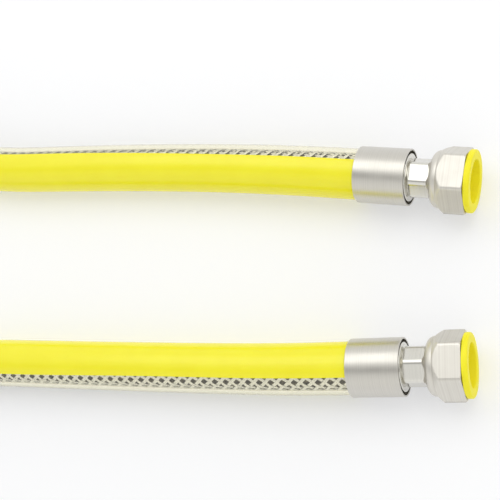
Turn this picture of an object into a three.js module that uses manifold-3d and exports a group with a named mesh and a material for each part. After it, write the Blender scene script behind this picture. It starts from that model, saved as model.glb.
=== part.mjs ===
// Flexible gas hose: a corrugated steel tube in a wire braid and a plastic cover, with a
// crimped ferrule, a hex-necked tailpiece, a loose union nut and a plastic plug at each end.
// Millimetres, +Z up. The hose lies on the surface z = 0. Both ends point along +X, side by
// side, and the hose turns back in one open loop behind them. The origin is on the surface,
// midway between the two end fittings.

import * as THREE from 'three';
import { NURBSCurve } from 'three/addons/curves/NURBSCurve.js';
import { mergeVertices } from 'three/addons/utils/BufferGeometryUtils.js';
import Module from 'manifold-3d';

const wasm = await Module();
wasm.setup();

// Clearances
const NEST_GAP = 0.3;            // between pieces that sit in or against each other

// Hose
const HOSE_DIAMETER = 21;        // over the plastic cover
const COVER_WALL = 1.6;
const BRAID_THICKNESS = 0.8;
const CORRUGATION_DEPTH = 1.5;   // crest to root of the steel tube
const HOSE_SIDES = 12;
const HOSE_STEP = 2;             // length of one straight stretch, in hose diameters

// Ferrule
const FERRULE_LENGTH = 21;
const FERRULE_WALL = 0.7;
const FERRULE_EDGE = 0.2;        // broken edges
const WELD_RING_LENGTH = 3.1;    // between the hose's end and the tailpiece's shoulder

// Tailpiece
const GAS_BORE = 9;              // diameter of the gas way
const STUB_LENGTH = 12;          // how far the stub reaches into the corrugated tube
const SHOULDER_CLEARANCE = 1;    // all round, inside the ferrule
const SHOULDER_THICKNESS = 1.4;
const SHOULDER_RECESS = 0.9;     // set back from the ferrule's front edge
const NECK_ACROSS_FLATS = 14.5;
const NECK_LENGTH = 9.9;
const NECK_CHAMFER = 0.5;
const SPIGOT_DIAMETER = 13.6;    // round part inside the nut's back hole
const COLLAR_THICKNESS = 2.2;    // the collar that the nut pulls on

// Union nut, for a G1/2 thread
const NUT_ACROSS_FLATS = 24;
const NUT_LENGTH = 14.2;
const NUT_THREAD_BORE = 18.6;
const NUT_BACK_WALL = 3;
const NUT_BACK_DIAMETER = 17.2;  // flat of the rounded back
const NUT_NECK_DIAMETER = 23.2;  // round part between the back and the hexagon
const NUT_ROUND_LENGTH = 3.2;    // length of the rounded back
const NUT_NECK_LENGTH = 0.6;
const NUT_BACK_CHAMFER = 2;      // hexagon corners, at the back
const NUT_FRONT_CHAMFER = 0.8;   // hexagon corners, at the front

// Flat seal
const GASKET_THICKNESS = 2;
const GASKET_BORE = 11;

// Protective plug
const PLUG_FLANGE_DIAMETER = 25;
const PLUG_FLANGE_THICKNESS = 2.2;
const PLUG_WALL = 0.8;
const PLUG_FLOOR = 1;
const PLUG_EDGE = 0.4;           // rounded mouth and flange edges

// How the hexagons lie about the end's axis, in degrees
const NUT_TURN = 0;
const NECK_TURN_A = 0;
const NECK_TURN_B = 23;

// Mesh fineness
const ROUND_SEGMENTS = 48;
const ARC_SEGMENTS = 5;
const ROUTE_DIVISIONS = 1000;    // for measuring along the hose's centreline
const MERGE_DISTANCE = 1e-4;     // corners this close become one
const CUT_MARGIN = 1;            // how far a cutting cylinder passes a piece's ends

// Derived hose radii
const coverRadius = HOSE_DIAMETER / 2;
const coverBore = coverRadius - COVER_WALL;
const braidRadius = coverBore - NEST_GAP;
const braidBore = braidRadius - BRAID_THICKNESS;
const tubeRadius = braidBore - NEST_GAP;
const tubeBore = tubeRadius - CORRUGATION_DEPTH;

// The flange is the widest part of an end, so the end lies on it at this height.
const axisHeight = PLUG_FLANGE_DIAMETER / 2;

// Guide points of the hose's centreline from ferrule mouth A to ferrule mouth B: x, y, and
// how far it is lifted from lying on the surface (0) to the height of the end fittings' axis
// (1). The hose follows a smooth cubic B-spline along them. The first two and the last two
// points give the directions of the end fittings.
const HOSE_ROUTE = [
  [-24.4, 39.55, 1],
  [-44.3, 41.36, 1],
  [-64, 43.05, 0.6],
  [-90, 44.8, 0.15],
  [-120, 46, 0],
  [-150, 46.7, 0],
  [-180, 47, 0],
  [-208, 47.5, 0],
  [-242.5, 53.5, 0],
  [-272.5, 72, 0],
  [-303, 89.5, 0],
  [-337.5, 94, 0],
  [-371.5, 86, 0],
  [-400.5, 65.5, 0],
  [-419, 36, 0],
  [-426, 1.5, 0],
  [-419, -33, 0],
  [-400.5, -62.5, 0],
  [-371.5, -83, 0],
  [-337.5, -91.5, 0],
  [-303, -86.5, 0],
  [-272.5, -69.5, 0],
  [-242.5, -51, 0],
  [-208, -44.5, 0],
  [-180, -44, 0],
  [-150, -43.5, 0],
  [-120, -42.9, 0],
  [-90, -42.3, 0.15],
  [-64, -41.65, 0.6],
  [-42.3, -40.88, 1],
  [-22.3, -39.55, 1],
];
const ROUTE_DEGREE = 3;

// Stations along an end's axis, counted from the ferrule's mouth towards the plug
const shoulderFront = FERRULE_LENGTH - SHOULDER_RECESS;
const shoulderBack = shoulderFront - SHOULDER_THICKNESS;
const weldRingEnd = shoulderBack - NEST_GAP;
const weldRingStart = weldRingEnd - WELD_RING_LENGTH;
const hoseGrip = weldRingStart - NEST_GAP;
const stubStart = hoseGrip - STUB_LENGTH;
const neckFront = shoulderFront + NECK_LENGTH;
const nutBack = neckFront + NEST_GAP;
const nutSeat = nutBack + NUT_BACK_WALL;
const nutFront = nutBack + NUT_LENGTH;
const collarBack = nutSeat + NEST_GAP;
const collarFront = collarBack + COLLAR_THICKNESS;
const gasketBack = collarFront + NEST_GAP;
const gasketFront = gasketBack + GASKET_THICKNESS;
const plugBack = gasketFront + NEST_GAP;
const flangeBack = nutFront + NEST_GAP;
const flangeFront = flangeBack + PLUG_FLANGE_THICKNESS;

// Radii that follow from what each piece goes into or around
const ferruleBore = coverRadius + NEST_GAP;
const ferruleRadius = ferruleBore + FERRULE_WALL;
const stubRadius = tubeBore - NEST_GAP;
const shoulderRadius = ferruleBore - SHOULDER_CLEARANCE;
const spigotRadius = SPIGOT_DIAMETER / 2;
const threadRadius = NUT_THREAD_BORE / 2;
const collarRadius = threadRadius - NEST_GAP;
const flangeRadius = PLUG_FLANGE_DIAMETER / 2;
const plugBore = collarRadius - PLUG_WALL;

// Materials: colour, roughness, metalness
const yellowCover = { color: 0xf4ea3e, roughness: 0.25, metalness: 0 };
const steelWire = { color: 0xb9b7b0, roughness: 0.35, metalness: 1 };
const steelTube = { color: 0x8f8d88, roughness: 0.4, metalness: 1 };
const satinSteel = { color: 0xc4c1ba, roughness: 0.3, metalness: 1 };
const polishedSteel = { color: 0xd0cec8, roughness: 0.15, metalness: 1 };
const sealRubber = { color: 0x3a3b3c, roughness: 0.8, metalness: 0 };
const yellowPlastic = { color: 0xf3e52c, roughness: 0.45, metalness: 0 };

// Geometry helpers

function namedMesh(name, geometry, material) {
  const mesh = new THREE.Mesh(geometry, new THREE.MeshStandardMaterial(material));
  mesh.name = name;
  return mesh;
}

// Points of a regular polygon whose corners lie on a circle of the given radius
function polygonPoints(radius, sides, turn = 0) {
  const points = [];
  for (let i = 0; i < sides; i += 1) {
    const angle = turn + (i / sides) * 2 * Math.PI;
    points.push(new THREE.Vector2(radius * Math.cos(angle), radius * Math.sin(angle)));
  }
  return points;
}

// A turned piece about +X from a closed profile of [station, radius] pairs, listed so that
// the material lies to the left of the line
function turned(profile) {
  const points = profile.map(([station, radius]) => new THREE.Vector2(radius, station));
  points.reverse();
  points.push(points[0].clone());
  const geometry = new THREE.LatheGeometry(points, ROUND_SEGMENTS);
  return geometry.rotateZ(-Math.PI / 2);
}

// Distance from a hexagon's middle to its corners
function hexCorner(acrossFlats) {
  return acrossFlats / Math.sqrt(3);
}

// A hexagonal bar about +X between two stations, with two flats level when turn is 0
function hexBar(acrossFlats, start, end, turnDegrees) {
  const outline = new THREE.Shape(polygonPoints(hexCorner(acrossFlats), 6, Math.PI / 2));
  const bar = new THREE.ExtrudeGeometry(outline, { depth: end - start, bevelEnabled: false });
  bar.rotateY(Math.PI / 2);
  bar.rotateX(THREE.MathUtils.degToRad(turnDegrees));
  return bar.translate(start, 0, 0);
}

// Points of a quarter ellipse from [station, radius] to [station, radius], bulging outward
function roundedCorner(from, to) {
  const points = [];
  for (let i = 0; i <= ARC_SEGMENTS; i += 1) {
    const angle = (i / ARC_SEGMENTS) * (Math.PI / 2);
    const station = to[0] + (from[0] - to[0]) * Math.cos(angle);
    const radius = from[1] + (to[1] - from[1]) * Math.sin(angle);
    points.push([station, radius]);
  }
  return points;
}

// A closed geometry as a solid that can be joined and cut
function toSolid(geometry) {
  const plain = geometry.clone();
  plain.deleteAttribute('normal');
  plain.deleteAttribute('uv');
  const merged = mergeVertices(plain, MERGE_DISTANCE);
  const index = Array.from(merged.index.array);
  const triangles = [];
  for (let i = 0; i < index.length; i += 3) {
    const [a, b, c] = index.slice(i, i + 3);
    if (a !== b && b !== c && c !== a) triangles.push(a, b, c);
  }
  const solid = {
    numProp: 3,
    vertProperties: new Float32Array(merged.attributes.position.array),
    triVerts: new Uint32Array(triangles),
  };
  return new wasm.Manifold(new wasm.Mesh(solid));
}

function toGeometry(solid) {
  const mesh = solid.getMesh();
  const geometry = new THREE.BufferGeometry();
  geometry.setAttribute('position', new THREE.BufferAttribute(mesh.vertProperties, 3));
  geometry.setIndex(new THREE.BufferAttribute(mesh.triVerts, 1));
  geometry.computeVertexNormals();
  return geometry;
}

// Hose

// The point at a distance beyond a route's end, on the line through its last two points
function beyond(mouth, next, distance) {
  const outward = mouth.clone().sub(next).normalize();
  return mouth.clone().addScaledVector(outward, distance);
}

function routePoints() {
  const rise = axisHeight - coverRadius;
  return HOSE_ROUTE.map(([x, y, lift]) => new THREE.Vector3(x, y, coverRadius + lift * rise));
}

// The B-spline starts and ends at the hose's ends, inside the ferrules.
function hoseCurve() {
  const route = routePoints();
  const start = beyond(route[0], route[1], hoseGrip);
  const end = beyond(route[route.length - 1], route[route.length - 2], hoseGrip);
  const guides = [start, ...route, end].map((point) => new THREE.Vector4(point.x, point.y, point.z));
  const spans = guides.length - ROUTE_DEGREE;
  const knots = [];
  for (let i = -ROUTE_DEGREE; i <= spans + ROUTE_DEGREE; i += 1) {
    knots.push(THREE.MathUtils.clamp(i, 0, spans));
  }
  const curve = new NURBSCurve(ROUTE_DEGREE, knots, guides);
  curve.arcLengthDivisions = ROUTE_DIVISIONS;
  return curve;
}

// One layer of the hose. All layers share the curve and its steps, so they nest.
function hoseLayer(curve, outerRadius, innerRadius) {
  const section = new THREE.Shape(polygonPoints(outerRadius, HOSE_SIDES));
  section.holes.push(new THREE.Path(polygonPoints(innerRadius, HOSE_SIDES)));
  const steps = Math.ceil(curve.getLength() / (HOSE_STEP * HOSE_DIAMETER));
  return new THREE.ExtrudeGeometry(section, { steps, bevelEnabled: false, extrudePath: curve });
}

function buildHose() {
  const curve = hoseCurve();
  const group = new THREE.Group();
  group.add(namedMesh('hose_cover', hoseLayer(curve, coverRadius, coverBore), yellowCover));
  group.add(namedMesh('wire_braid', hoseLayer(curve, braidRadius, braidBore), steelWire));
  group.add(namedMesh('corrugated_tube', hoseLayer(curve, tubeRadius, tubeBore), steelTube));
  return group;
}

// End fittings

function ferruleGeometry() {
  return turned([
    [0, ferruleBore],
    [FERRULE_LENGTH, ferruleBore],
    [FERRULE_LENGTH, ferruleRadius - FERRULE_EDGE],
    [FERRULE_LENGTH - FERRULE_EDGE, ferruleRadius],
    [FERRULE_EDGE, ferruleRadius],
    [0, ferruleRadius - FERRULE_EDGE],
  ]);
}

// Joins the ends of the tube and the braid to the tailpiece, and carries the ferrule
function weldRingGeometry() {
  return turned([
    [weldRingStart, stubRadius + NEST_GAP],
    [weldRingEnd, stubRadius + NEST_GAP],
    [weldRingEnd, coverRadius],
    [weldRingStart, coverRadius],
  ]);
}

function tailpieceGeometry(neckTurn) {
  const corner = hexCorner(NECK_ACROSS_FLATS);
  const round = toSolid(turned([
    [stubStart, 0],
    [collarFront, 0],
    [collarFront, collarRadius],
    [collarBack, collarRadius],
    [collarBack, spigotRadius],
    [shoulderFront, spigotRadius],
    [shoulderFront, shoulderRadius],
    [shoulderBack, shoulderRadius],
    [shoulderBack, stubRadius],
    [stubStart, stubRadius],
  ]));
  const neckLimit = toSolid(turned([
    [shoulderBack, 0],
    [neckFront, 0],
    [neckFront, corner - NECK_CHAMFER],
    [neckFront - NECK_CHAMFER, corner],
    [shoulderFront + NECK_CHAMFER, corner],
    [shoulderFront, corner - NECK_CHAMFER],
    [shoulderBack, corner - NECK_CHAMFER],
  ]));
  const neckStart = shoulderBack + SHOULDER_THICKNESS / 2;
  const neck = toSolid(hexBar(NECK_ACROSS_FLATS, neckStart, neckFront, neckTurn));
  const bore = toSolid(turned([
    [stubStart - CUT_MARGIN, 0],
    [collarFront + CUT_MARGIN, 0],
    [collarFront + CUT_MARGIN, GAS_BORE / 2],
    [stubStart - CUT_MARGIN, GAS_BORE / 2],
  ]));
  return toGeometry(round.add(neck.intersect(neckLimit)).subtract(bore));
}

function nutGeometry() {
  const corner = hexCorner(NUT_ACROSS_FLATS);
  const neckRadius = NUT_NECK_DIAMETER / 2;
  const roundEnd = nutBack + NUT_ROUND_LENGTH;
  const neckEnd = roundEnd + NUT_NECK_LENGTH;
  const outside = toSolid(turned([
    [nutBack, 0],
    [nutFront, 0],
    [nutFront, corner - NUT_FRONT_CHAMFER],
    [nutFront - NUT_FRONT_CHAMFER, corner],
    [neckEnd + NUT_BACK_CHAMFER, corner],
    [neckEnd, neckRadius],
    ...roundedCorner([nutBack, NUT_BACK_DIAMETER / 2], [roundEnd, neckRadius]).reverse(),
  ]));
  const hexagon = toSolid(hexBar(NUT_ACROSS_FLATS, nutBack, nutFront, NUT_TURN));
  const bore = toSolid(turned([
    [nutBack - CUT_MARGIN, 0],
    [nutFront + CUT_MARGIN, 0],
    [nutFront + CUT_MARGIN, threadRadius],
    [nutSeat, threadRadius],
    [nutSeat, spigotRadius + NEST_GAP],
    [nutBack - CUT_MARGIN, spigotRadius + NEST_GAP],
  ]));
  return toGeometry(outside.intersect(hexagon).subtract(bore));
}

function gasketGeometry() {
  return turned([
    [gasketBack, GASKET_BORE / 2],
    [gasketFront, GASKET_BORE / 2],
    [gasketFront, collarRadius],
    [gasketBack, collarRadius],
  ]);
}

// A hollow cup that presses into the nut's thread, with a flange over the nut's front
function plugGeometry() {
  const recessFloor = plugBack + PLUG_FLOOR;
  return turned([
    [plugBack, 0],
    [recessFloor, 0],
    [recessFloor, plugBore],
    [flangeFront - PLUG_EDGE, plugBore],
    [flangeFront, plugBore + PLUG_EDGE],
    [flangeFront, flangeRadius - PLUG_EDGE],
    [flangeFront - PLUG_EDGE, flangeRadius],
    [flangeBack, flangeRadius],
    [flangeBack, collarRadius],
    [plugBack, collarRadius],
  ]);
}

// All the pieces of one end, along +X from the ferrule's mouth
function buildEnd(suffix, neckTurn) {
  const group = new THREE.Group();
  group.add(namedMesh(`ferrule_${suffix}`, ferruleGeometry(), satinSteel));
  group.add(namedMesh(`weld_ring_${suffix}`, weldRingGeometry(), satinSteel));
  group.add(namedMesh(`tailpiece_${suffix}`, tailpieceGeometry(neckTurn), polishedSteel));
  group.add(namedMesh(`union_nut_${suffix}`, nutGeometry(), satinSteel));
  group.add(namedMesh(`gasket_${suffix}`, gasketGeometry(), sealRubber));
  group.add(namedMesh(`end_plug_${suffix}`, plugGeometry(), yellowPlastic));
  return group;
}

// Sets an end at the route's mouth point, along the route's last two points
function placeEnd(end, mouth, next) {
  end.position.copy(mouth);
  end.rotation.z = Math.atan2(mouth.y - next.y, mouth.x - next.x);
  return end;
}

function buildGasHose() {
  const route = routePoints();
  const last = route.length - 1;
  const hose = new THREE.Group();
  hose.add(buildHose());
  hose.add(placeEnd(buildEnd('a', NECK_TURN_A), route[0], route[1]));
  hose.add(placeEnd(buildEnd('b', NECK_TURN_B), route[last], route[last - 1]));
  return hose;
}

export default buildGasHose();
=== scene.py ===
# %% [markdown]
# # A gas hose, dressed for its picture
#
# A flexible gas hose is a thin bellows tube of steel in a braid of steel wire, with a
# plastic cover over both and a union nut at each end. The solids of such a part are plain
# on purpose: the hose is three smooth tubes there. In this lesson the same hose gets its
# true wires, its bellows and the clear window in its cover, and each metal and plastic
# gets a finish. The first cell loads the solids as a frame that nothing here moves.

# %% Load the frame
import bisect
import math

import bmesh
import bpy
from mathutils import Matrix, Vector


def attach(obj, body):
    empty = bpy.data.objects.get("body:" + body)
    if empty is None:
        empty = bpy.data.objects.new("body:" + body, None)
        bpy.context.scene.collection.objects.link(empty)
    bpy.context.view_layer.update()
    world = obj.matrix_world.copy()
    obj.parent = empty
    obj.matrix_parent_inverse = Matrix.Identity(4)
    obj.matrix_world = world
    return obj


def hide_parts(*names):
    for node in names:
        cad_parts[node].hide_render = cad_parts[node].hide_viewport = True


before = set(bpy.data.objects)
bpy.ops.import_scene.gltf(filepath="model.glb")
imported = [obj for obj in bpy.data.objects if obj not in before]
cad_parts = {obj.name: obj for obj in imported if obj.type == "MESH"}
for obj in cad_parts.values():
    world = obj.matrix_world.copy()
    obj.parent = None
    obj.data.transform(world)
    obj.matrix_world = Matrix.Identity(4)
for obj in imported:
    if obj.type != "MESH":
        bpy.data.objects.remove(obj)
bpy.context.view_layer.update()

MM = 0.001

# %% [markdown]
# ## The camera
#
# The picture was taken from above and a little to the right, at under half a metre. A
# camera is placed most surely by three things that can be measured in a picture: where it
# stands, the point in the middle of the frame, and a line that runs level in it. Here that
# line is the direction of the fittings, +X. The lens follows from how large things are.

# %% Camera
CAMERA_PLACE = Vector((99.8, -83.8, 407.0)) * MM
CAMERA_TARGET = Vector((-71.2, 8.35, 10.5)) * MM
CAMERA_LENS = 75.6

look = (CAMERA_TARGET - CAMERA_PLACE).normalized()
picture_up = Vector((1, 0, 0)).cross(look).normalized()
picture_right = look.cross(picture_up)
camera = bpy.data.objects.new("camera", bpy.data.cameras.new("camera"))
camera.data.lens = CAMERA_LENS
turn = Matrix((picture_right, picture_up, -look)).transposed().to_4x4()
camera.matrix_world = Matrix.Translation(CAMERA_PLACE) @ turn
bpy.context.collection.objects.link(camera)
bpy.context.scene.camera = camera
print("camera at", round((CAMERA_TARGET - CAMERA_PLACE).length, 3), "m from its target")

# %% [markdown]
# ## The line that the hose follows
#
# A hose is a fixed length of something that bends, so it is easiest to make it straight
# and then lay it along a line. The line is the one that the solids follow: a smooth
# B-spline along 31 points, from the mouth of one ferrule to the mouth of the other, with
# 15 mm more at each end inside the ferrules. The third number of a point says how far the
# hose is lifted there, from lying on the table (0) to the height of the fittings (1).
# Blender's own NURBS curve draws the same spline, so the curve is drawn once, read as a
# fine row of points and taken away again.

# %% Centreline
COVER_RADIUS = 10.5 * MM
AXIS_HEIGHT = 12.5 * MM
HOSE_GRIP = 15 * MM
HOSE_ROUTE = [
    (-0.0244, 0.03955, 1), (-0.0443, 0.04136, 1), (-0.064, 0.04305, 0.6),
    (-0.09, 0.0448, 0.15), (-0.12, 0.046, 0), (-0.15, 0.0467, 0),
    (-0.18, 0.047, 0), (-0.208, 0.0475, 0), (-0.2425, 0.0535, 0),
    (-0.2725, 0.072, 0), (-0.303, 0.0895, 0), (-0.3375, 0.094, 0),
    (-0.3715, 0.086, 0), (-0.4005, 0.0655, 0), (-0.419, 0.036, 0),
    (-0.426, 0.0015, 0), (-0.419, -0.033, 0), (-0.4005, -0.0625, 0),
    (-0.3715, -0.083, 0), (-0.3375, -0.0915, 0), (-0.303, -0.0865, 0),
    (-0.2725, -0.0695, 0), (-0.2425, -0.051, 0), (-0.208, -0.0445, 0),
    (-0.18, -0.044, 0), (-0.15, -0.0435, 0), (-0.12, -0.0429, 0),
    (-0.09, -0.0423, 0.15), (-0.064, -0.04165, 0.6), (-0.0423, -0.04088, 1),
    (-0.0223, -0.03955, 1),
]
rise = AXIS_HEIGHT - COVER_RADIUS
route = [Vector((x, y, COVER_RADIUS + lift * rise)) for x, y, lift in HOSE_ROUTE]


def beyond(mouth, before, distance):
    """The point past a mouth, on the line through the route's point before it."""
    return mouth + (mouth - before).normalized() * distance


guides = [beyond(route[0], route[1], HOSE_GRIP), *route, beyond(route[-1], route[-2], HOSE_GRIP)]
curve = bpy.data.curves.new("centreline", "CURVE")
curve.dimensions = "3D"
spline = curve.splines.new("NURBS")
spline.points.add(len(guides) - 1)
for point, guide in zip(spline.points, guides):
    point.co = (*guide, 1)
spline.order_u = 4
spline.use_endpoint_u = True
spline.resolution_u = 24
drawn = bpy.data.objects.new("centreline", curve)
bpy.context.collection.objects.link(drawn)
centreline = [vertex.co.copy() for vertex in drawn.to_mesh().vertices]
drawn.to_mesh_clear()
bpy.data.objects.remove(drawn)
bpy.data.curves.remove(curve)

distances = [0.0]
for before, after in zip(centreline, centreline[1:]):
    distances.append(distances[-1] + (after - before).length)
hose_length = distances[-1]
print("hose:", len(centreline), "points,", round(hose_length / MM, 1), "mm")

# %% [markdown]
# ## Laying a straight piece along the line
#
# Every layer of the hose is modelled along +X, as it would lie on a bench, and then each
# of its points is carried to the line: x says how far along the hose it is, and y and z
# stay its place across the hose. A curve modifier does much the same, but it turns the
# piece in ways that are hard to foresee. Here +Z stays up and -Y goes to the outside of
# the loop, so the window in the cover can be put where the photo shows it.

# %% Lay along the hose
directions = []
for i in range(len(centreline)):
    ahead = centreline[min(i + 1, len(centreline) - 1)]
    behind = centreline[max(i - 1, 0)]
    directions.append((ahead - behind).normalized())


def lay_along_hose(bm):
    """Carries a straight piece, made along +X from 0, onto the hose's centreline."""
    for vertex in bm.verts:
        along, across, up = vertex.co
        i = min(max(bisect.bisect(distances, along), 1), len(distances) - 1)
        share = (along - distances[i - 1]) / (distances[i] - distances[i - 1])
        direction = directions[i - 1].lerp(directions[i], share).normalized()
        left = Vector((0, 0, 1)).cross(direction).normalized()
        top = direction.cross(left)
        vertex.co = centreline[i - 1].lerp(centreline[i], share) + left * across + top * up


def finished(name, bm, body, materials):
    """The bmesh as a smooth object that rides on a body and takes the given materials."""
    mesh = bpy.data.meshes.new(name)
    for face in bm.faces:
        face.smooth = True
    bm.to_mesh(mesh)
    bm.free()
    for material in materials:
        mesh.materials.append(material)
    piece = bpy.data.objects.new(name, mesh)
    bpy.context.collection.objects.link(piece)
    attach(piece, body)
    mesh.calc_loop_triangles()
    print(name + ":", len(mesh.loop_triangles), "triangles")
    return piece


# %% [markdown]
# ## Colours and nodes
#
# A colour that is picked on a screen is an sRGB value, and a shader works with linear
# light, so one function turns the one into the other. A second one adds a node: it sets
# the node's own settings, and each input gets either a value or a link from another node.

# %% Helpers for materials
def linear(colour):
    """A hex sRGB colour as the linear colour that a shader takes."""
    channels = [int(colour[i:i + 2], 16) / 255 for i in (1, 3, 5)]
    curve = [c / 12.92 if c <= 0.04045 else ((c + 0.055) / 1.055) ** 2.4 for c in channels]
    return (*curve, 1)


def add(tree, kind, inputs=None, **settings):
    """Adds a node with its settings, and gives its inputs values or links."""
    node = tree.nodes.new(kind)
    for name, value in settings.items():
        setattr(node, name, value)
    for name, value in (inputs or {}).items():
        if isinstance(value, bpy.types.NodeSocket):
            tree.links.new(value, node.inputs[name])
        else:
            node.inputs[name].default_value = value
    return node


def new_material(name):
    """An empty material, with its node tree and its output node."""
    material = bpy.data.materials.new(name)
    material.use_nodes = True
    tree = material.node_tree
    tree.nodes.clear()
    return material, tree, add(tree, "ShaderNodeOutputMaterial")


# %% [markdown]
# ## The yellow cover
#
# The cover is soft PVC, drawn through a die round the braid, and comes out glossy. Yellow
# is the colour for gas. PVC has an IOR of about 1.53, which gives the shine its strength,
# and its roughness is low. The die leaves faint lines along the hose and the cover is
# never quite even in thickness, so a stretched noise moves the highlight a little. The
# pattern has to follow the hose round its bend, so it reads the piece's own UV map, where
# u runs along the hose and v round it, both in metres.

# %% Material: soft PVC, extruded, glossy yellow
def extruded_yellow_pvc():
    material, tree, output = new_material("soft_pvc_extruded_yellow")
    place = add(tree, "ShaderNodeUVMap", uv_map="along_hose")
    # One wave every 25 mm along the hose and every 4 mm round it
    stretch = add(tree, "ShaderNodeMapping", {
        "Vector": place.outputs["UV"], "Scale": (40, 250, 1),
    })
    waves = add(tree, "ShaderNodeTexNoise", {
        "Vector": stretch.outputs[0], "Scale": 1, "Detail": 3,
    })
    # Clouds of pigment, 90 to the metre, so 11 mm wide
    cloud = add(tree, "ShaderNodeTexNoise", {
        "Vector": place.outputs["UV"], "Scale": 90, "Detail": 2,
    })
    tint = add(tree, "ShaderNodeMix", {
        "Factor": cloud.outputs["Fac"], "A": linear("#EFE51E"), "B": linear("#F6EE2C"),
    }, data_type="RGBA")
    gloss = add(tree, "ShaderNodeMapRange", {
        "Value": waves.outputs["Fac"], "To Min": 0.18, "To Max": 0.28,
    })
    bump = add(tree, "ShaderNodeBump", {
        "Height": waves.outputs["Fac"], "Strength": 0.25, "Distance": 0.15 * MM,
    })
    shader = add(tree, "ShaderNodeBsdfPrincipled", {
        "Base Color": tint.outputs[2], "Roughness": gloss.outputs[0], "IOR": 1.53,
        "Normal": bump.outputs[0], "Subsurface Weight": 0.2,
        "Subsurface Radius": (1.0, 0.8, 0.2), "Subsurface Scale": 2 * MM,
    })
    tree.links.new(shader.outputs[0], output.inputs["Surface"])
    return material


# %% [markdown]
# ## The clear window
#
# One strip of the cover is clear, so that a worn braid can be seen. It is the same PVC
# without the pigment, a little creamy. It is made as real clear plastic with its real
# wall: light bends as it goes in, and near the hose's edge it can't get out again at the
# inner side, which gives the bare creamy strip beside the braid that the photo shows. A
# clear wall would throw a full shadow on the braid behind it, because lamps can't be found
# through bent light, so for shadow rays alone it lets the light straight through. The tint
# is inside the plastic: light that runs a long way in it loses more of its blue.

# %% Material: soft PVC, extruded, clear
def extruded_clear_pvc():
    material, tree, output = new_material("soft_pvc_extruded_clear")
    shader = add(tree, "ShaderNodeBsdfPrincipled", {
        "Base Color": linear("#FCFAF2"), "Roughness": 0.04, "IOR": 1.53,
        "Transmission Weight": 1.0,
    })
    passing = add(tree, "ShaderNodeBsdfTransparent", {"Color": linear("#FCFBF5")})
    # At a density of 45 per metre, 9 mm of plastic take away a third of the blue.
    tint = add(tree, "ShaderNodeVolumeAbsorption", {"Color": linear("#F7EC00"), "Density": 45})
    path = add(tree, "ShaderNodeLightPath")
    mix = add(tree, "ShaderNodeMixShader", {
        0: path.outputs["Is Shadow Ray"], 1: shader.outputs[0], 2: passing.outputs[0],
    })
    tree.links.new(mix.outputs[0], output.inputs["Surface"])
    tree.links.new(tint.outputs[0], output.inputs["Volume"])
    return material


# %% [markdown]
# ## The cover itself
#
# A tube with a wall is a ring of material that is turned about an axis. Four corners make
# the section along the hose, its two long edges are cut into short steps, and one full
# spin gives outer skin, inner skin and both ends, closed. The window takes the faces
# between two angles. In the photo the window's edge doesn't keep quite to one height, so
# the hose is twisted by some degrees, in eased steps, and the finished tube is turned by
# the same.

# %% Cover
COVER_WALL = 1.6 * MM
COVER_SIDES = 72
COVER_STEP = 6 * MM
WINDOW_WIDTH = math.radians(110)
# Distance along the hose in mm, and the angle of the window's upper edge there, in degrees
# from straight up towards the outside of the loop
WINDOW_TWIST = [(60, 18), (175, 26), (775, 34), (865, 27.5)]


def window_edge(along):
    """The angle of the window's upper edge at a distance along the hose."""
    degrees = WINDOW_TWIST[0][1]
    for (start, here), (end, there) in zip(WINDOW_TWIST, WINDOW_TWIST[1:]):
        share = min(max((along / MM - start) / (end - start), 0), 1)
        degrees += (there - here) * share * share * (3 - 2 * share)
    return math.radians(degrees)


bm = bmesh.new()
section = [
    (0, COVER_RADIUS), (hose_length, COVER_RADIUS),
    (hose_length, COVER_RADIUS - COVER_WALL), (0, COVER_RADIUS - COVER_WALL),
]
corners = [bm.verts.new((along, 0, radius)) for along, radius in section]
edges = [bm.edges.new((corners[i], corners[(i + 1) % 4])) for i in range(4)]
steps = round(hose_length / COVER_STEP)
bmesh.ops.subdivide_edges(bm, edges=[edges[0], edges[2]], cuts=steps - 1)
bmesh.ops.spin(
    bm, geom=bm.verts[:] + bm.edges[:], cent=(0, 0, 0), axis=(1, 0, 0), dvec=(0, 0, 0),
    angle=2 * math.pi, steps=COVER_SIDES, use_merge=True,
)
bmesh.ops.recalc_face_normals(bm, faces=bm.faces[:])
uv = bm.loops.layers.uv.new("along_hose")
for face in bm.faces:
    middle = face.calc_center_median()
    angle = math.atan2(-middle.y, middle.z) % (2 * math.pi)
    face.material_index = 1 if angle < WINDOW_WIDTH else 0
    for loop in face.loops:
        corner = math.atan2(-loop.vert.co.y, loop.vert.co.z) % (2 * math.pi)
        if corner - angle > math.pi:
            corner -= 2 * math.pi
        if angle - corner > math.pi:
            corner += 2 * math.pi
        loop[uv].uv = (loop.vert.co.x, corner * COVER_RADIUS)
for vertex in bm.verts:
    vertex.co = Matrix.Rotation(window_edge(vertex.co.x), 3, "X") @ vertex.co
lay_along_hose(bm)
cover = finished("cover", bm, "hose", [extruded_yellow_pvc(), extruded_clear_pvc()])
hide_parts("hose_cover")

# %% [markdown]
# ## Wire for the braid
#
# The braid is drawn stainless wire, bright but not a mirror. It is the brightest steel
# here, because drawing presses its skin smooth. It also leaves fine lines along each wire,
# far too fine to see at this size, so they only raise the roughness, which an even noise
# varies from place to place.

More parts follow.
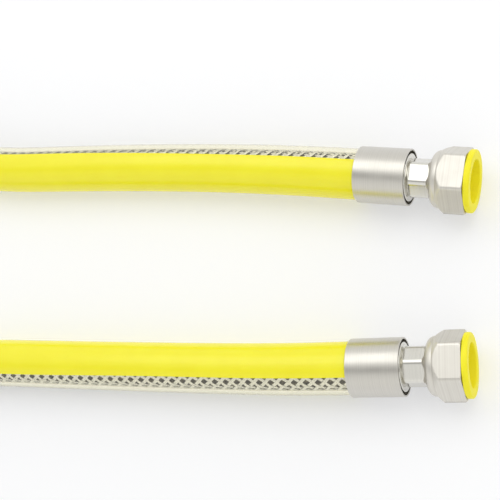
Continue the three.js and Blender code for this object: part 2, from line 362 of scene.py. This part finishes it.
# %% Material: stainless wire, drawn
def drawn_steel_wire():
    material, tree, output = new_material("stainless_wire_drawn")
    place = add(tree, "ShaderNodeTexCoord")
    # Patches of one roughness, 600 to the metre, so 1.7 mm wide
    noise = add(tree, "ShaderNodeTexNoise", {
        "Vector": place.outputs["Object"], "Scale": 600, "Detail": 2,
    })
    rough = add(tree, "ShaderNodeMapRange", {
        "Value": noise.outputs["Fac"], "To Min": 0.16, "To Max": 0.32,
    })
    shader = add(tree, "ShaderNodeBsdfPrincipled", {
        "Base Color": linear("#EEEFF1"), "Metallic": 1.0, "Roughness": rough.outputs[0],
    })
    tree.links.new(shader.outputs[0], output.inputs["Surface"])
    return material


# %% [markdown]
# ## One strand of the braid
#
# A braid has 24 strands, and each strand is a flat ribbon of wires side by side. Half of
# them wind one way and half the other, and each goes over one strand and under the next.
# One strand is enough to model: its cross-section is spun about the hose with a step
# forward at each turn, which draws a helix. The ridges of the section are the wires, and
# the edges in the valleys between them stay sharp, so that each wire is shaded as a round
# one. Then the strand is pressed in and out, two steps high and two steps low, which makes
# room for the strands that cross it. The wire is 0.3 mm thick, and four lie side by side,
# which leaves the open diamonds between the strands that show the dark tube below.

# %% Strand of the braid
BRAID_RADIUS = 8.2 * MM
STRANDS = 12
BRAID_LEAD = 59 * MM            # one full turn of a strand
WIRES = 4
WIRE_WIDTH = 0.33 * MM
WIRE_THICKNESS = 0.3 * MM
VALLEY = 0.05                   # height of the valleys between wires, as a share of the wire
STRAND_LIFT = 0.18 * MM
STEPS_PER_WAVE = 4
BRAID_INSET = 1 * MM            # the strands end this far inside the ends of the cover


def strand_section(bm, slant):
    """The outline of a ribbon of wires, square to the strand, at the start of its helix."""
    width = WIRES * WIRE_WIDTH
    points = []
    for i in range(2 * WIRES + 1):
        side = -width / 2 + i * WIRE_WIDTH / 2
        height = WIRE_THICKNESS / 2 if i % 2 else VALLEY * WIRE_THICKNESS
        points.append((side, height))
    points.append((0, -WIRE_THICKNESS / 2))
    vertices = []
    for side, height in points:
        radius = BRAID_RADIUS + height
        round_hose = side * math.cos(slant) / BRAID_RADIUS
        vertices.append(bm.verts.new((
            -side * math.sin(slant), -radius * math.sin(round_hose), radius * math.cos(round_hose),
        )))
    return vertices


def braid_strand(hand):
    """One strand, wound to the left (1) or to the right (-1)."""
    bm = bmesh.new()
    slant = hand * math.atan(2 * math.pi * BRAID_RADIUS / BRAID_LEAD)
    section = strand_section(bm, slant)
    edges = [bm.edges.new((section[i - 1], section[i])) for i in range(len(section))]
    wave = BRAID_LEAD / STRANDS
    step = wave / STEPS_PER_WAVE
    steps = int((hose_length - 2 * BRAID_INSET) / step)
    bmesh.ops.spin(
        bm, geom=section + edges, cent=(0, 0, 0), axis=(1, 0, 0), dvec=(step, 0, 0),
        angle=hand * steps * 2 * math.pi / (STRANDS * STEPS_PER_WAVE), steps=steps,
    )
    bm.verts.index_update()
    for vertex in bm.verts:
        phase = (vertex.index // len(section)) % STEPS_PER_WAVE
        high = phase in (0, 3)
        lift = STRAND_LIFT if high == (hand > 0) else -STRAND_LIFT
        away = Vector((0, vertex.co.y, vertex.co.z)).normalized()
        vertex.co += away * lift
    for edge in bm.edges:
        place, other = (vertex.index % len(section) for vertex in edge.verts)
        edge.smooth = place != other or place % 2 == 1
    bmesh.ops.holes_fill(bm, edges=[edge for edge in bm.edges if edge.is_boundary])
    bmesh.ops.recalc_face_normals(bm, faces=bm.faces[:])
    bmesh.ops.translate(bm, verts=bm.verts[:], vec=(BRAID_INSET + step / 2, 0, 0))
    return bm


# %% [markdown]
# ## The whole braid
#
# The other eleven strands of each hand are copies, turned by a twelfth of a turn each, and
# a spin that duplicates makes them in one call. All of them wave alike along the hose: at
# each crossing the strands of one hand are high and those of the other hand low, and half
# a wave further on it is the other way round. That alone makes the weave.

# %% Braid
wire = drawn_steel_wire()
for name, hand in (("braid_left_wires", 1), ("braid_right_wires", -1)):
    bm = braid_strand(hand)
    bmesh.ops.spin(
        bm, geom=bm.verts[:] + bm.edges[:] + bm.faces[:], cent=(0, 0, 0), axis=(1, 0, 0),
        dvec=(0, 0, 0), angle=2 * math.pi * (STRANDS - 1) / STRANDS, steps=STRANDS - 1,
        use_duplicate=True,
    )
    lay_along_hose(bm)
    braid = finished(name, bm, "hose", [wire])
    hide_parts("wire_braid")

# %% [markdown]
# ## The bellows tube
#
# The pipe inside is thin strip steel, rolled into rings so that it bends and stays tight.
# Little of it is seen, only dark gaps between the strands, but the gaps look right only if
# something ribbed is really there. Its outline is a straight line cut into short steps and
# pushed into a wave, one full spin makes the skin, and solidify gives the skin its wall.
# The steel is duller than the wire, because it was annealed after rolling. Its tint is
# far darker than real steel: that darkness is painted shade for the gaps between strands.

# %% Material: stainless strip, rolled and annealed, with painted shade in its tint
def shade_darkened_steel_strip():
    material, tree, output = new_material("stainless_strip_painted_shade")
    place = add(tree, "ShaderNodeTexCoord")
    # Duller spots, 400 to the metre, so 2.5 mm wide
    noise = add(tree, "ShaderNodeTexNoise", {
        "Vector": place.outputs["Object"], "Scale": 400, "Detail": 3,
    })
    # Both tints are far darker than stainless steel: painted shade for the gaps under the braid
    tint = add(tree, "ShaderNodeMix", {
        "Factor": noise.outputs["Fac"], "A": linear("#5E5848"), "B": linear("#7C7562"),
    }, data_type="RGBA")
    shader = add(tree, "ShaderNodeBsdfPrincipled", {
        "Base Color": tint.outputs[2], "Metallic": 1.0, "Roughness": 0.42,
    })
    tree.links.new(shader.outputs[0], output.inputs["Surface"])
    return material


# %% Bellows tube
TUBE_RADIUS = 7.5 * MM
TUBE_DEPTH = 1.3 * MM
TUBE_WALL = 0.2 * MM
TUBE_PITCH = 3.2 * MM
TUBE_SIDES = 32
STEPS_PER_RIB = 4

bm = bmesh.new()
ribs = int(hose_length / TUBE_PITCH)
tips = [bm.verts.new((along, 0, 0)) for along in (0, hose_length)]
line = bm.edges.new(tips)
bmesh.ops.subdivide_edges(bm, edges=[line], cuts=ribs * STEPS_PER_RIB - 1)
for vertex in bm.verts:
    phase = 2 * math.pi * ribs * vertex.co.x / hose_length
    vertex.co.z = TUBE_RADIUS - TUBE_DEPTH / 2 * (1 - math.cos(phase))
bmesh.ops.spin(
    bm, geom=bm.verts[:] + bm.edges[:], cent=(0, 0, 0), axis=(1, 0, 0), dvec=(0, 0, 0),
    angle=2 * math.pi, steps=TUBE_SIDES, use_merge=True,
)
bmesh.ops.recalc_face_normals(bm, faces=bm.faces[:])
bmesh.ops.solidify(bm, geom=bm.faces[:], thickness=TUBE_WALL)
lay_along_hose(bm)
tube = finished("bellows_tube", bm, "hose", [shade_darkened_steel_strip()])
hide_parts("corrugated_tube")

# %% [markdown]
# ## Turned pieces
#
# The ferrule, the tailpiece, the nut and the plug are all turned, so one helper serves
# them. It takes an outline as stations and radii and rounds each of its corners by that
# corner's own radius, as an edge is broken on a lathe. A station is a place along the end,
# in millimetres from the mouth of the ferrule. The rounding is done on a flat face of the
# outline, because a bevel of corners works there, and the face goes before the spin. Where
# an outline reaches the axis it is left open, and the points there become one.

# %% Turning
ROUND_SIDES = 96
ROUNDING_STEPS = 4
SAME_PLACE = 0.001 * MM


def outline(corners):
    """An outline of (station, radius, rounding) corners in millimetres, as bare edges."""
    bm = bmesh.new()
    points = [bm.verts.new((station * MM, 0, radius * MM)) for station, radius, _ in corners]
    bm.faces.new(points)
    for rounding in sorted({corner[2] for corner in corners} - {0}):
        bmesh.ops.bevel(
            bm, geom=[point for point, corner in zip(points, corners) if corner[2] == rounding],
            offset=rounding * MM, segments=ROUNDING_STEPS, profile=0.5, affect="VERTICES",
            material=-1,
        )
    bmesh.ops.delete(bm, geom=bm.faces[:], context="FACES_ONLY")
    on_axis = [edge for edge in bm.edges if all(v.co.z < SAME_PLACE for v in edge.verts)]
    bmesh.ops.delete(bm, geom=on_axis, context="EDGES")
    return bm


def turned(bm):
    """Spins an outline once about +X into a closed piece."""
    bmesh.ops.spin(
        bm, geom=bm.verts[:] + bm.edges[:], cent=(0, 0, 0), axis=(1, 0, 0), dvec=(0, 0, 0),
        angle=2 * math.pi, steps=ROUND_SIDES, use_merge=True,
    )
    bmesh.ops.remove_doubles(bm, verts=bm.verts[:], dist=SAME_PLACE)
    bmesh.ops.recalc_face_normals(bm, faces=bm.faces[:])
    return bm


# %% [markdown]
# ## Putting a piece on its end
#
# Both fittings are the same, so each piece is made twice and placed by its end's matrix,
# which goes straight into the mesh. Before that, each point keeps its station as an
# attribute. Marks from a lathe run round a piece, and a pattern that depends on the
# station alone does the same, on either end. Edges that are sharper than 35 degrees stay
# sharp, and the rest are smooth. Weighted normals then let the large faces set the
# shading, so a flat stays flat right up to its rounded edge.

# %% Placing and finishing
SHARP = math.radians(35)


def end_place(mouth, before):
    """The matrix that carries stations along +X to an end of the hose."""
    away = mouth - before
    return Matrix.Translation(mouth) @ Matrix.Rotation(math.atan2(away.y, away.x), 4, "Z")


ENDS = {"a": end_place(route[0], route[1]), "b": end_place(route[-1], route[-2])}
for end, place in ENDS.items():
    print("end", end, "turned by", round(math.degrees(place.to_euler().z), 1), "degrees")


def fitted(name, end, bm, body, material):
    """A turned piece, placed on its end and standing for the solid of that name."""
    station = bm.verts.layers.float.new("station")
    for vertex in bm.verts:
        vertex[station] = vertex.co.x
    for edge in bm.edges:
        edge.smooth = edge.calc_face_angle(0) < SHARP
    bm.transform(ENDS[end])
    piece = finished(f"{name}_{end}_finished", bm, body, [material])
    even = piece.modifiers.new("even_shading", "WEIGHTED_NORMAL")
    even.keep_sharp = True
    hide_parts(f"{name}_{end}")
    return piece


# %% [markdown]
# ## Steel of the fittings
#
# All the metal here is stainless steel, and only the way it was worked differs. The sleeve
# and the nut are tumbled at the end, which leaves them satin, and the hexagon of the
# tailpiece is ground bright. Fine rings stay from the lathe. Real ones are 0.1 mm apart,
# which is too fine to show, so they are drawn 0.4 mm apart, and 0.7 mm on the coarser nut.
# They are a little lighter and darker in turn, and slightly raised. A stain of roughness a
# few millimetres wide keeps a large face from looking like paint.

# %% Material: stainless steel, worked in several ways
def worked_steel(name, dark, light, smooth, rough, ring_width, ring_depth):
    """Stainless steel between two tints and two roughnesses, with lathe rings in mm."""
    material, tree, output = new_material(name)
    place = add(tree, "ShaderNodeTexCoord")
    station = add(tree, "ShaderNodeAttribute", attribute_name="station")
    rings = add(tree, "ShaderNodeTexNoise", {
        "W": station.outputs["Fac"], "Scale": 1 / (ring_width * MM), "Detail": 2,
    }, noise_dimensions="1D")
    bright = add(tree, "ShaderNodeMapRange", {
        "Value": rings.outputs["Fac"], "From Min": 0.3, "From Max": 0.7,
    })
    tint = add(tree, "ShaderNodeMix", {
        "Factor": bright.outputs[0], "A": linear(dark), "B": linear(light),
    }, data_type="RGBA")
    # Duller and brighter stains, 180 to the metre, so 5.6 mm wide
    stain = add(tree, "ShaderNodeTexNoise", {
        "Vector": place.outputs["Object"], "Scale": 180, "Detail": 4,
    })
    polish = add(tree, "ShaderNodeMapRange", {
        "Value": stain.outputs["Fac"], "From Min": 0.3, "From Max": 0.7,
        "To Min": smooth, "To Max": rough,
    })
    bump = add(tree, "ShaderNodeBump", {
        "Height": rings.outputs["Fac"], "Strength": 0.3, "Distance": ring_depth * MM,
    })
    shader = add(tree, "ShaderNodeBsdfPrincipled", {
        "Base Color": tint.outputs[2], "Metallic": 1.0, "Roughness": polish.outputs[0],
        "Normal": bump.outputs[0],
    })
    tree.links.new(shader.outputs[0], output.inputs["Surface"])
    return material


sleeve_steel = worked_steel(
    "stainless_drawn_and_tumbled", dark="#CBC8C1", light="#D4D1CA", smooth=0.29, rough=0.38,
    ring_width=0.4, ring_depth=0.02,
)
ground_steel = worked_steel(
    "stainless_turned_and_ground", dark="#D8D6CF", light="#E0DED7", smooth=0.12, rough=0.18,
    ring_width=0.4, ring_depth=0.01,
)
nut_steel = worked_steel(
    "stainless_turned_and_tumbled", dark="#D5D1C9", light="#DEDBD3", smooth=0.38, rough=0.48,
    ring_width=0.7, ring_depth=0.03,
)
print("steels:", sleeve_steel.name, ground_steel.name, nut_steel.name)

# %% [markdown]
# ## Ferrules
#
# The ferrule is a plain sleeve that is pressed over the hose's end. It is a ring with a
# thin wall and broken edges, and its front edge is the bright rim round the dark gap.

# %% Ferrules
FERRULE_LENGTH = 21
FERRULE_RADIUS = 11.5
FERRULE_BORE_RADIUS = 10.8
FERRULE = [
    (0, FERRULE_BORE_RADIUS, 0.15), (FERRULE_LENGTH, FERRULE_BORE_RADIUS, 0.15),
    (FERRULE_LENGTH, FERRULE_RADIUS, 0.25), (0, FERRULE_RADIUS, 0.25),
]

for end in ENDS:
    fitted("ferrule", end, turned(outline(FERRULE)), "hose", sleeve_steel)

# %% [markdown]
# ## Milling flats
#
# The tailpiece's neck and the nut are hexagons. A real one is turned first and then milled
# on six sides, and the cone that was turned on its ends leaves the curved corners that
# every nut has. The same order works here: the blank is turned, and then each point that
# lies outside a flat is moved in onto it. Six flats could be cut by planes as well, but
# then the holes have to be filled, and moving the points keeps the piece closed.

# %% Milling
def milled(bm, across_flats, first, last):
    """Six flats on a blank between two stations in millimetres, two of them level."""
    sixth = math.pi / 3
    corner = across_flats / math.sqrt(3) * MM
    for vertex in bm.verts:
        if not first * MM - SAME_PLACE <= vertex.co.x <= last * MM + SAME_PLACE:
            continue
        radius = math.hypot(vertex.co.y, vertex.co.z)
        if radius > corner + SAME_PLACE:
            continue
        angle = math.atan2(vertex.co.y, vertex.co.z)
        from_flat = (angle + sixth / 2) % sixth - sixth / 2
        limit = across_flats / 2 * MM / math.cos(from_flat)
        if radius > limit:
            vertex.co.yz = vertex.co.yz * (limit / radius)


def cut_finely(bm, first, last, cuts, inner=0, outer=math.inf):
    """Cuts the outline between two stations, and two radii, into short steps."""
    cut = []
    for edge in bm.edges:
        stations = [vertex.co.x for vertex in edge.verts]
        radii = [vertex.co.z for vertex in edge.verts]
        along = first * MM - SAME_PLACE <= min(stations) and max(stations) <= last * MM + SAME_PLACE
        across = inner * MM - SAME_PLACE <= min(radii) and max(radii) <= outer * MM + SAME_PLACE
        if along and across and max(stations) - min(stations) > SAME_PLACE:
            cut.append(edge)
    bmesh.ops.subdivide_edges(bm, edges=cut, cuts=cuts)


# %% [markdown]
# ## Tailpieces
#
# The tailpiece is one turned piece: a stub inside the tube, a shoulder inside the ferrule,
# the hexagonal neck, and the collar that the nut pulls on, with the gas way through it all.
# The blank is a little narrower than the hexagon's points, so each point keeps a narrow
# round land. The necks of the two ends were held in the vice at different turns, so the
# photo shows one with a flat up and the other with an edge nearly up, and its land shines.

# %% Tailpieces
GAS_WAY_RADIUS = 4.5
STUB_START = 3
STUB_RADIUS = 5.7
SHOULDER_START = 18.7
SHOULDER_RADIUS = 9.7
NECK_ACROSS_FLATS = 14.5
NECK_BLANK = 8.0
NECK_CHAMFER = 0.8
NECK_TURNS = {"a": math.radians(0), "b": math.radians(23)}
NECK_START = 21.2
NECK_END = 30
BEARING_RADIUS = 6.8            # the nut turns on this stretch
COLLAR_START = 33.6
COLLAR_END = 35.8
COLLAR_RADIUS = 9
CHAMFER_CUTS = 4
TAILPIECE = [
    (STUB_START, GAS_WAY_RADIUS, 0.2), (STUB_START, STUB_RADIUS, 0.3),
    (SHOULDER_START, STUB_RADIUS, 0), (SHOULDER_START, SHOULDER_RADIUS, 0.15),
    (NECK_START, SHOULDER_RADIUS, 0.5), (NECK_START, NECK_BLANK - NECK_CHAMFER, 0),
    (NECK_START + NECK_CHAMFER, NECK_BLANK, 0), (NECK_END - NECK_CHAMFER, NECK_BLANK, 0),
    (NECK_END, NECK_BLANK - NECK_CHAMFER, 0), (NECK_END, BEARING_RADIUS, 0),
    (COLLAR_START, BEARING_RADIUS, 0), (COLLAR_START, COLLAR_RADIUS, 0.2),
    (COLLAR_END, COLLAR_RADIUS, 0.2), (COLLAR_END, GAS_WAY_RADIUS, 0.2),
]

for end, neck_turn in NECK_TURNS.items():
    bm = outline(TAILPIECE)
    cut_finely(bm, NECK_START, NECK_START + NECK_CHAMFER, CHAMFER_CUTS)
    cut_finely(bm, NECK_END - NECK_CHAMFER, NECK_END, CHAMFER_CUTS)
    milled(turned(bm), NECK_ACROSS_FLATS, NECK_START, NECK_END)
    bm.transform(Matrix.Rotation(neck_turn, 4, "X"))
    fitted("tailpiece", end, bm, "hose", ground_steel)

# %% [markdown]
# ## Union nuts
#
# The nut is loose on the tailpiece. Its back is turned round like a dome, and the hexagon
# starts right after it with the cone that gives its corners their curve. Inside there is a
# G1/2 thread, with a turn every 1.814 mm. It shows once the plug is out. The thread's wave
# depends on the station and on the angle together, so it climbs by one turn each time
# round, as a screw does. It fades out towards the seat, and the front edge stays round.

# %% Union nuts
NUT_ACROSS_FLATS = 24
NUT_CORNER = NUT_ACROSS_FLATS / math.sqrt(3)
NUT_HOLE_RADIUS = 7.1
NUT_BACK_RADIUS = 8.6
NUT_DOME_RADIUS = 11.6
NUT_BACK = 30.3
NUT_SEAT = 33.3
NUT_DOME_END = 33.5
NUT_CONE_END = 36.1
NUT_FRONT = 44.5
NUT_EDGE = 0.5
THREAD_RADIUS = 9.3
THREAD_PITCH = 1.814
THREAD_DEPTH = 1.1
NEAR = 0.01
THREAD_CUTS = 60
CONE_CUTS = 7
EDGE_CUTS = 4
DOME_STEPS = 12


def nut_dome():
    """Corners of the rounded back, a quarter of an ellipse from the back to the cone."""
    corners = []
    for i in range(1, DOME_STEPS + 1):
        angle = i / DOME_STEPS * math.pi / 2
        station = NUT_DOME_END - (NUT_DOME_END - NUT_BACK) * math.cos(angle)
        radius = NUT_BACK_RADIUS + (NUT_DOME_RADIUS - NUT_BACK_RADIUS) * math.sin(angle)
        corners.append((station, radius, 0))
    return corners


NUT = [
    (NUT_BACK, NUT_HOLE_RADIUS, 0.2), (NUT_BACK, NUT_BACK_RADIUS, 0), *nut_dome(),
    (NUT_CONE_END, NUT_CORNER, 0), (NUT_FRONT - NUT_EDGE, NUT_CORNER, 0),
    (NUT_FRONT, NUT_CORNER - NUT_EDGE, 0), (NUT_FRONT, THREAD_RADIUS, 0),
    (NUT_SEAT, THREAD_RADIUS, 0), (NUT_SEAT, NUT_HOLE_RADIUS, 0.1),
]


def threaded(bm):
    """Cuts the thread into the bore, deepest half-way between two turns."""
    first = NUT_SEAT + THREAD_PITCH
    last = NUT_FRONT
    for vertex in bm.verts:
        station = vertex.co.x / MM
        radius = math.hypot(vertex.co.y, vertex.co.z) / MM
        if abs(radius - THREAD_RADIUS) > NEAR or not first <= station < last - NEAR:
            continue
        turns = station / THREAD_PITCH - math.atan2(vertex.co.y, vertex.co.z) / (2 * math.pi)
        fade = min((station - first) / THREAD_PITCH, 1)
        depth = THREAD_DEPTH * fade * (1 - math.cos(2 * math.pi * turns)) / 2
        vertex.co.yz = vertex.co.yz * ((radius + depth) / radius)


for end in ENDS:
    bm = outline(NUT)
    cut_finely(bm, NUT_DOME_END, NUT_CONE_END, CONE_CUTS, inner=THREAD_RADIUS + NEAR)
    cut_finely(bm, NUT_FRONT - NUT_EDGE, NUT_FRONT, EDGE_CUTS, inner=THREAD_RADIUS + NEAR)
    cut_finely(bm, NUT_SEAT, NUT_FRONT, THREAD_CUTS, outer=THREAD_RADIUS)
    threaded(turned(bm))
    milled(bm, NUT_ACROSS_FLATS, NUT_DOME_END, NUT_FRONT)
    fitted("union_nut", end, bm, f"nut_{end}", nut_steel)

# %% [markdown]
# ## Plugs
#
# A soft yellow plug keeps dirt out of each nut. It is moulded from polyethylene, which is
# a little waxy: light goes some way in, so the edges of the thin wall glow, and its shine
# is broad. It is a cup with a flange, and every edge of a moulding like this is round.

# %% Material: polyethylene, injection moulded, yellow
def moulded_yellow_polyethylene():
    material, tree, output = new_material("polyethylene_moulded_yellow")
    place = add(tree, "ShaderNodeTexCoord")
    # The mould's grain, 0.8 mm wide, and uneven patches of the flow, 8 mm wide
    grain = add(tree, "ShaderNodeTexNoise", {
        "Vector": place.outputs["Object"], "Scale": 1200, "Detail": 2,
    })
    flow = add(tree, "ShaderNodeTexNoise", {
        "Vector": place.outputs["Object"], "Scale": 120, "Detail": 3,
    })
    tint = add(tree, "ShaderNodeMix", {
        "Factor": flow.outputs["Fac"], "A": linear("#F1E40A"), "B": linear("#F8F01A"),
    }, data_type="RGBA")
    gloss = add(tree, "ShaderNodeMapRange", {
        "Value": flow.outputs["Fac"], "To Min": 0.5, "To Max": 0.62,
    })
    bump = add(tree, "ShaderNodeBump", {
        "Height": grain.outputs["Fac"], "Strength": 0.2, "Distance": 0.03 * MM,
    })
    shader = add(tree, "ShaderNodeBsdfPrincipled", {
        "Base Color": tint.outputs[2], "Roughness": gloss.outputs[0], "IOR": 1.51,
        "Normal": bump.outputs[0], "Subsurface Weight": 0.1,
        "Subsurface Radius": (1.0, 0.8, 0.15), "Subsurface Scale": 1 * MM,
    })
    tree.links.new(shader.outputs[0], output.inputs["Surface"])
    return material


# %% Plugs
PLUG_BACK = 38.4
PLUG_RADIUS = 9
FLANGE_BACK = 44.6
FLANGE_FRONT = 47
FLANGE_RADIUS = 12.5
HOLLOW_RADIUS = 8.6
HOLLOW_FLOOR = 39.4
HOLLOW_FLOOR_RADIUS = 8.2
PLUG = [
    (PLUG_BACK, 0, 0), (PLUG_BACK, PLUG_RADIUS, 0.4), (FLANGE_BACK, PLUG_RADIUS, 0.1),
    (FLANGE_BACK, FLANGE_RADIUS, 0.4), (FLANGE_FRONT, FLANGE_RADIUS, 0.7),
    (FLANGE_FRONT, HOLLOW_RADIUS, 0.5), (HOLLOW_FLOOR, HOLLOW_FLOOR_RADIUS, 0.4),
    (HOLLOW_FLOOR, 0, 0),
]
polyethylene = moulded_yellow_polyethylene()
for end in ENDS:
    fitted("end_plug", end, turned(outline(PLUG)), f"plug_{end}", polyethylene)

# %% [markdown]
# ## Seals and weld rings
#
# The flat seal and the weld ring keep their solids, because a plain ring is their true
# shape. They only get a material: matt black rubber with a fine grain, and the steel of
# the tailpiece with the duller surface that heat leaves.

# %% Material: rubber, moulded, matt
def moulded_seal_rubber():
    material, tree, output = new_material("rubber_moulded_matt")
    place = add(tree, "ShaderNodeTexCoord")
    # The rubber's grain, 1500 to the metre, so 0.7 mm wide
    grain = add(tree, "ShaderNodeTexNoise", {
        "Vector": place.outputs["Object"], "Scale": 1500, "Detail": 2,
    })
    tint = add(tree, "ShaderNodeMix", {
        "Factor": grain.outputs["Fac"], "A": linear("#1E1E1D"), "B": linear("#2C2C2A"),
    }, data_type="RGBA")
    bump = add(tree, "ShaderNodeBump", {
        "Height": grain.outputs["Fac"], "Strength": 0.4, "Distance": 0.03 * MM,
    })
    shader = add(tree, "ShaderNodeBsdfPrincipled", {
        "Base Color": tint.outputs[2], "Roughness": 0.75, "IOR": 1.52,
        "Normal": bump.outputs[0],
    })
    tree.links.new(shader.outputs[0], output.inputs["Surface"])
    return material


# %% Seals and weld rings
rubber = moulded_seal_rubber()
welded_steel = worked_steel(
    "stainless_welded", dark="#A09C90", light="#B0ACA0", smooth=0.35, rough=0.5,
    ring_width=0.4, ring_depth=0.02,
)
for end in ENDS:
    for node, material in ((f"gasket_{end}", rubber), (f"weld_ring_{end}", welded_steel)):
        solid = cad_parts[node]
        solid.data.materials.clear()
        solid.data.materials.append(material)
print("seals and weld rings: 4 solids with new materials")

# %% [markdown]
# ## The table
#
# The hose lies on a white table. A large plane at height zero is enough, as long as its
# edge is far outside the picture, also when the hose is seen from the side. In the photo
# the table is nearly white right up to soft and pale shadows, and the yellow hose throws
# hardly any colour on it. So for the camera, and for what metal and glass reflect or let
# through, a part of the table's colour is plain white, and the rest takes light and shadow
# like any other surface.

# %% Material: laminate, matt white
PLAIN_SHARE = 0.38


def white_laminate():
    material, tree, output = new_material("laminate_matt_white")
    place = add(tree, "ShaderNodeTexCoord")
    # Faint clouds in the white, 6 to the metre, so 170 mm wide
    cloud = add(tree, "ShaderNodeTexNoise", {
        "Vector": place.outputs["Object"], "Scale": 6, "Detail": 2,
    })
    tint = add(tree, "ShaderNodeMix", {
        "Factor": cloud.outputs["Fac"], "A": linear("#FCFCFD"), "B": linear("#FEFEFF"),
    }, data_type="RGBA")
    lit = add(tree, "ShaderNodeBsdfPrincipled", {
        "Base Color": tint.outputs[2], "Roughness": 0.6, "Specular IOR Level": 0.2,
    })
    plain = add(tree, "ShaderNodeEmission", {"Color": linear("#FBFCFF"), "Strength": 1.0})
    path = add(tree, "ShaderNodeLightPath")
    seen = add(tree, "ShaderNodeMath", {
        0: path.outputs["Is Camera Ray"], 1: path.outputs["Is Glossy Ray"],
    }, operation="ADD")
    seen = add(tree, "ShaderNodeMath", {
        0: seen.outputs[0], 1: path.outputs["Is Transmission Ray"],
    }, operation="ADD", use_clamp=True)
    share = add(tree, "ShaderNodeMath", {0: seen.outputs[0], 1: PLAIN_SHARE}, operation="MULTIPLY")
    mix = add(tree, "ShaderNodeMixShader", {
        0: share.outputs[0], 1: lit.outputs[0], 2: plain.outputs[0],
    })
    tree.links.new(mix.outputs[0], output.inputs["Surface"])
    return material


# %% Table
TABLE_SIZE = 24.0
bm = bmesh.new()
bmesh.ops.create_grid(bm, x_segments=1, y_segments=1, size=TABLE_SIZE / 2)
mesh = bpy.data.meshes.new("table")
bm.to_mesh(mesh)
bm.free()
mesh.materials.append(white_laminate())
table = bpy.data.objects.new("table", mesh)
bpy.context.collection.objects.link(table)
print("table:", TABLE_SIZE, "m square")

# %% [markdown]
# ## Light
#
# Curved metal shows its surroundings, so the lamps decide how it looks. The bright band on
# the sleeves in the photo lies where a mirror would show a place above and behind the
# hose, and it is at a slightly different height on the two sleeves, which gives the lamp's
# place: a wide soft lamp behind the hose. The rest is even light from all round, with one
# darker strip overhead beside the lamp, which gives the thin grey band below the bright
# one. The strip is a step in the world's brightness over the angle from straight up.

# %% Lamp and world
LAMP_PLACE = Vector((-0.06, 0.36, 0.72))
LAMP_AIM = Vector((-0.05, 0.0, 0.01))
LAMP_LENGTH = 1.1
LAMP_WIDTH = 0.55
LAMP_RADIANCE = 0.95
LAMP_BLUE = 0.98                # a little less blue than white, for a slightly warm light
WORLD_BLUE = 0.985
# Angle from straight up towards -Y, in degrees, and the world's brightness there
WORLD_STEPS = [
    (-90, 0.96), (-45, 0.95), (0, 0.95), (8, 0.62), (12, 0.48), (24, 0.48), (32, 0.86),
    (60, 1.0), (90, 0.96),
]

lamp = bpy.data.lights.new("softbox", "AREA")
lamp.shape = "RECTANGLE"
lamp.size = LAMP_LENGTH
lamp.size_y = LAMP_WIDTH
lamp.energy = LAMP_RADIANCE * math.pi * LAMP_LENGTH * LAMP_WIDTH
lamp.color = (1.0, 1.0, LAMP_BLUE)
softbox = bpy.data.objects.new("softbox", lamp)
down = (LAMP_PLACE - LAMP_AIM).normalized()
along = Vector((1, 0, 0))
softbox.matrix_world = Matrix.Translation(LAMP_PLACE) @ Matrix(
    (along, down.cross(along).normalized(), down)
).transposed().to_4x4()
bpy.context.collection.objects.link(softbox)

world = bpy.data.worlds.new("studio")
bpy.context.scene.world = world
world.use_nodes = True
tree = world.node_tree
tree.nodes.clear()
place = add(tree, "ShaderNodeTexCoord")
axes = add(tree, "ShaderNodeSeparateXYZ", {0: place.outputs["Generated"]})
forward = add(tree, "ShaderNodeMath", {0: axes.outputs["Y"], 1: -1.0}, operation="MULTIPLY")
angle = add(tree, "ShaderNodeMath", {
    0: forward.outputs[0], 1: axes.outputs["Z"],
}, operation="ARCTAN2")
share = add(tree, "ShaderNodeMapRange", {
    "Value": angle.outputs[0], "From Min": -math.pi / 2, "From Max": math.pi / 2,
})
steps = add(tree, "ShaderNodeValToRGB", {"Fac": share.outputs[0]})
for i, (degrees, brightness) in enumerate(WORLD_STEPS):
    at = (degrees + 90) / 180
    stop = steps.color_ramp.elements[i] if i < 2 else steps.color_ramp.elements.new(at)
    stop.position = at
    stop.color = (brightness, brightness, WORLD_BLUE * brightness, 1)
light = add(tree, "ShaderNodeBackground", {"Color": steps.outputs["Color"], "Strength": 1.0})
output = add(tree, "ShaderNodeOutputWorld", {"Surface": light.outputs[0]})
bpy.context.scene.view_settings.view_transform = "Standard"
print("lamp:", round(lamp.energy, 2), "W")
